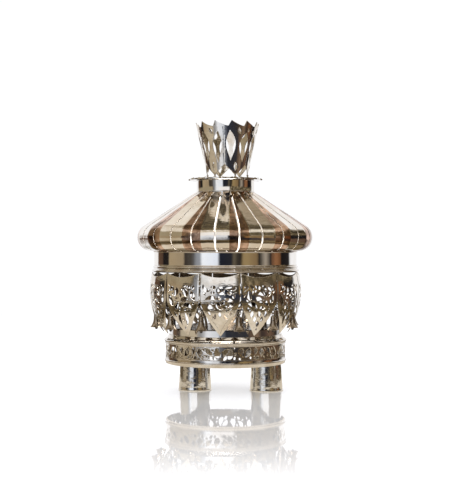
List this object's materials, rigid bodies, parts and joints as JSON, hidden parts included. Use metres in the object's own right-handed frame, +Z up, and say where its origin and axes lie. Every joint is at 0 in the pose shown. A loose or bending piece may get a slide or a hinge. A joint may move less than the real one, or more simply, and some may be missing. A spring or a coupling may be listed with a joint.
{
  "type": "scroll crown",
  "caption": "Ceremonial scroll crown in sheet silver: stave sleeves, openwork base, pierced shield wall with swinging bells, strip dome and openwork coronet.",
  "frame": {"origin": "on the crown's axis, level with the mouths of the two stave sleeves", "axes": "+Z up along the crown's axis, -Y towards the front, the two sleeves side by side along X"},
  "size_m": [0.2598, 0.2598, 0.397],
  "materials": {
    "plain_silver": "polished silver, smooth and mirror bright",
    "pierced_silver": "polished silver sheet, saw pierced, warm toned",
    "strip_silver": "polished silver sheet, slightly wavy",
    "moulding_silver": "polished silver moulding with darker grooves",
    "hammered_silver": "polished silver with a light hammered wave",
    "antique_silver": "oxidised silver, brownish and duller",
    "dark_silver": "blackened silver",
    "fitting_silver": "silver fittings, slightly dull"
  },
  "bodies": {
    "crown": {"base_plate": "plain_silver", "base_lower_ring": "moulding_silver", "base_openwork_band": "pierced_silver", "base_upper_ring": "moulding_silver", "neck_drum": "plain_silver", "neck_floor": "plain_silver", "wall_brackets": "plain_silver", "bell_gallery": "plain_silver", "bell_hooks": "fitting_silver", "wall_shield_01": "pierced_silver", "wall_shield_02": "pierced_silver", "wall_shield_03": "pierced_silver", "wall_shield_04": "pierced_silver", "wall_shield_05": "pierced_silver", "wall_shield_06": "pierced_silver", "wall_shield_07": "pierced_silver", "wall_shield_08": "pierced_silver", "wall_shield_09": "pierced_silver", "wall_shield_10": "pierced_silver", "wall_shield_11": "pierced_silver", "wall_shield_12": "pierced_silver", "wall_top_ring": "moulding_silver", "belt_band": "plain_silver", "dome_seat_hoop": "moulding_silver", "dome_strips": "strip_silver", "collar_band": "plain_silver", "collar_plate": "moulding_silver", "coronet_posts": "fitting_silver", "coronet_leaves": "pierced_silver"},
    "left_sleeve": {"sleeve_left": "hammered_silver", "sleeve_flange_left": "plain_silver", "clamp_screws_left": "fitting_silver"},
    "right_sleeve": {"sleeve_right": "hammered_silver", "sleeve_flange_right": "plain_silver", "clamp_screws_right": "fitting_silver"},
    "bell_01_swinging": {"bell_01": "antique_silver"},
    "clapper_01_swinging": {"clapper_01": "dark_silver"},
    "bell_02_swinging": {"bell_02": "antique_silver"},
    "clapper_02_swinging": {"clapper_02": "dark_silver"},
    "bell_03_swinging": {"bell_03": "antique_silver"},
    "clapper_03_swinging": {"clapper_03": "dark_silver"},
    "bell_04_swinging": {"bell_04": "antique_silver"},
    "clapper_04_swinging": {"clapper_04": "dark_silver"},
    "bell_05_swinging": {"bell_05": "antique_silver"},
    "clapper_05_swinging": {"clapper_05": "dark_silver"},
    "bell_06_swinging": {"bell_06": "antique_silver"},
    "clapper_06_swinging": {"clapper_06": "dark_silver"},
    "bell_07_swinging": {"bell_07": "antique_silver"},
    "clapper_07_swinging": {"clapper_07": "dark_silver"},
    "bell_08_swinging": {"bell_08": "antique_silver"},
    "clapper_08_swinging": {"clapper_08": "dark_silver"},
    "bell_09_swinging": {"bell_09": "antique_silver"},
    "clapper_09_swinging": {"clapper_09": "dark_silver"},
    "bell_10_swinging": {"bell_10": "antique_silver"},
    "clapper_10_swinging": {"clapper_10": "dark_silver"},
    "bell_11_swinging": {"bell_11": "antique_silver"},
    "clapper_11_swinging": {"clapper_11": "dark_silver"},
    "bell_12_swinging": {"bell_12": "antique_silver"},
    "clapper_12_swinging": {"clapper_12": "dark_silver"}
  },
  "joints": [
    {"name": "left_sleeve_slide", "type": "slide", "parent": "crown", "child": "left_sleeve", "axis": [-1, 0, 0], "range_m": [-0.0015, 0.0168]},
    {"name": "right_sleeve_slide", "type": "slide", "parent": "crown", "child": "right_sleeve", "axis": [1, 0, 0], "range_m": [-0.0168, 0.0015]},
    {"name": "bell_01_swing", "type": "hinge", "parent": "crown", "child": "bell_01_swinging", "pos_m": [0.02679, -0.09997, 0.1181], "axis": [-0.9659, -0.2588, 0], "range_deg": [-20, 60]},
    {"name": "clapper_01_swing", "type": "hinge", "parent": "bell_01_swinging", "child": "clapper_01_swinging", "pos_m": [0.02679, -0.09997, 0.11225], "axis": [-0.9659, -0.2588, 0], "range_deg": [-17.5, 17.5]},
    {"name": "bell_02_swing", "type": "hinge", "parent": "crown", "child": "bell_02_swinging", "pos_m": [0.07319, -0.07319, 0.1181], "axis": [-0.7071, -0.7071, 0], "range_deg": [-20, 60]},
    {"name": "clapper_02_swing", "type": "hinge", "parent": "bell_02_swinging", "child": "clapper_02_swinging", "pos_m": [0.07319, -0.07319, 0.11225], "axis": [-0.7071, -0.7071, 0], "range_deg": [-17.5, 17.5]},
    {"name": "bell_03_swing", "type": "hinge", "parent": "crown", "child": "bell_03_swinging", "pos_m": [0.09997, -0.02679, 0.1181], "axis": [-0.2588, -0.9659, 0], "range_deg": [-20, 60]},
    {"name": "clapper_03_swing", "type": "hinge", "parent": "bell_03_swinging", "child": "clapper_03_swinging", "pos_m": [0.09997, -0.02679, 0.11225], "axis": [-0.2588, -0.9659, 0], "range_deg": [-17.5, 17.5]},
    {"name": "bell_04_swing", "type": "hinge", "parent": "crown", "child": "bell_04_swinging", "pos_m": [0.09997, 0.02679, 0.1181], "axis": [0.2588, -0.9659, 0], "range_deg": [-20, 60]},
    {"name": "clapper_04_swing", "type": "hinge", "parent": "bell_04_swinging", "child": "clapper_04_swinging", "pos_m": [0.09997, 0.02679, 0.11225], "axis": [0.2588, -0.9659, 0], "range_deg": [-17.5, 17.5]},
    {"name": "bell_05_swing", "type": "hinge", "parent": "crown", "child": "bell_05_swinging", "pos_m": [0.07319, 0.07319, 0.1181], "axis": [0.7071, -0.7071, 0], "range_deg": [-20, 60]},
    {"name": "clapper_05_swing", "type": "hinge", "parent": "bell_05_swinging", "child": "clapper_05_swinging", "pos_m": [0.07319, 0.07319, 0.11225], "axis": [0.7071, -0.7071, 0], "range_deg": [-17.5, 17.5]},
    {"name": "bell_06_swing", "type": "hinge", "parent": "crown", "child": "bell_06_swinging", "pos_m": [0.02679, 0.09997, 0.1181], "axis": [0.9659, -0.2588, 0], "range_deg": [-20, 60]},
    {"name": "clapper_06_swing", "type": "hinge", "parent": "bell_06_swinging", "child": "clapper_06_swinging", "pos_m": [0.02679, 0.09997, 0.11225], "axis": [0.9659, -0.2588, 0], "range_deg": [-17.5, 17.5]},
    {"name": "bell_07_swing", "type": "hinge", "parent": "crown", "child": "bell_07_swinging", "pos_m": [-0.02679, 0.09997, 0.1181], "axis": [0.9659, 0.2588, 0], "range_deg": [-20, 60]},
    {"name": "clapper_07_swing", "type": "hinge", "parent": "bell_07_swinging", "child": "clapper_07_swinging", "pos_m": [-0.02679, 0.09997, 0.11225], "axis": [0.9659, 0.2588, 0], "range_deg": [-17.5, 17.5]},
    {"name": "bell_08_swing", "type": "hinge", "parent": "crown", "child": "bell_08_swinging", "pos_m": [-0.07319, 0.07319, 0.1181], "axis": [0.7071, 0.7071, 0], "range_deg": [-20, 60]},
    {"name": "clapper_08_swing", "type": "hinge", "parent": "bell_08_swinging", "child": "clapper_08_swinging", "pos_m": [-0.07319, 0.07319, 0.11225], "axis": [0.7071, 0.7071, 0], "range_deg": [-17.5, 17.5]},
    {"name": "bell_09_swing", "type": "hinge", "parent": "crown", "child": "bell_09_swinging", "pos_m": [-0.09997, 0.02679, 0.1181], "axis": [0.2588, 0.9659, 0], "range_deg": [-20, 60]},
    {"name": "clapper_09_swing", "type": "hinge", "parent": "bell_09_swinging", "child": "clapper_09_swinging", "pos_m": [-0.09997, 0.02679, 0.11225], "axis": [0.2588, 0.9659, 0], "range_deg": [-17.5, 17.5]},
    {"name": "bell_10_swing", "type": "hinge", "parent": "crown", "child": "bell_10_swinging", "pos_m": [-0.09997, -0.02679, 0.1181], "axis": [-0.2588, 0.9659, 0], "range_deg": [-20, 60]},
    {"name": "clapper_10_swing", "type": "hinge", "parent": "bell_10_swinging", "child": "clapper_10_swinging", "pos_m": [-0.09997, -0.02679, 0.11225], "axis": [-0.2588, 0.9659, 0], "range_deg": [-17.5, 17.5]},
    {"name": "bell_11_swing", "type": "hinge", "parent": "crown", "child": "bell_11_swinging", "pos_m": [-0.07319, -0.07319, 0.1181], "axis": [-0.7071, 0.7071, 0], "range_deg": [-20, 60]},
    {"name": "clapper_11_swing", "type": "hinge", "parent": "bell_11_swinging", "child": "clapper_11_swinging", "pos_m": [-0.07319, -0.07319, 0.11225], "axis": [-0.7071, 0.7071, 0], "range_deg": [-17.5, 17.5]},
    {"name": "bell_12_swing", "type": "hinge", "parent": "crown", "child": "bell_12_swinging", "pos_m": [-0.02679, -0.09997, 0.1181], "axis": [-0.9659, 0.2588, 0], "range_deg": [-20, 60]},
    {"name": "clapper_12_swing", "type": "hinge", "parent": "bell_12_swinging", "child": "clapper_12_swinging", "pos_m": [-0.02679, -0.09997, 0.11225], "axis": [-0.9659, 0.2588, 0], "range_deg": [-17.5, 17.5]}
  ]
}
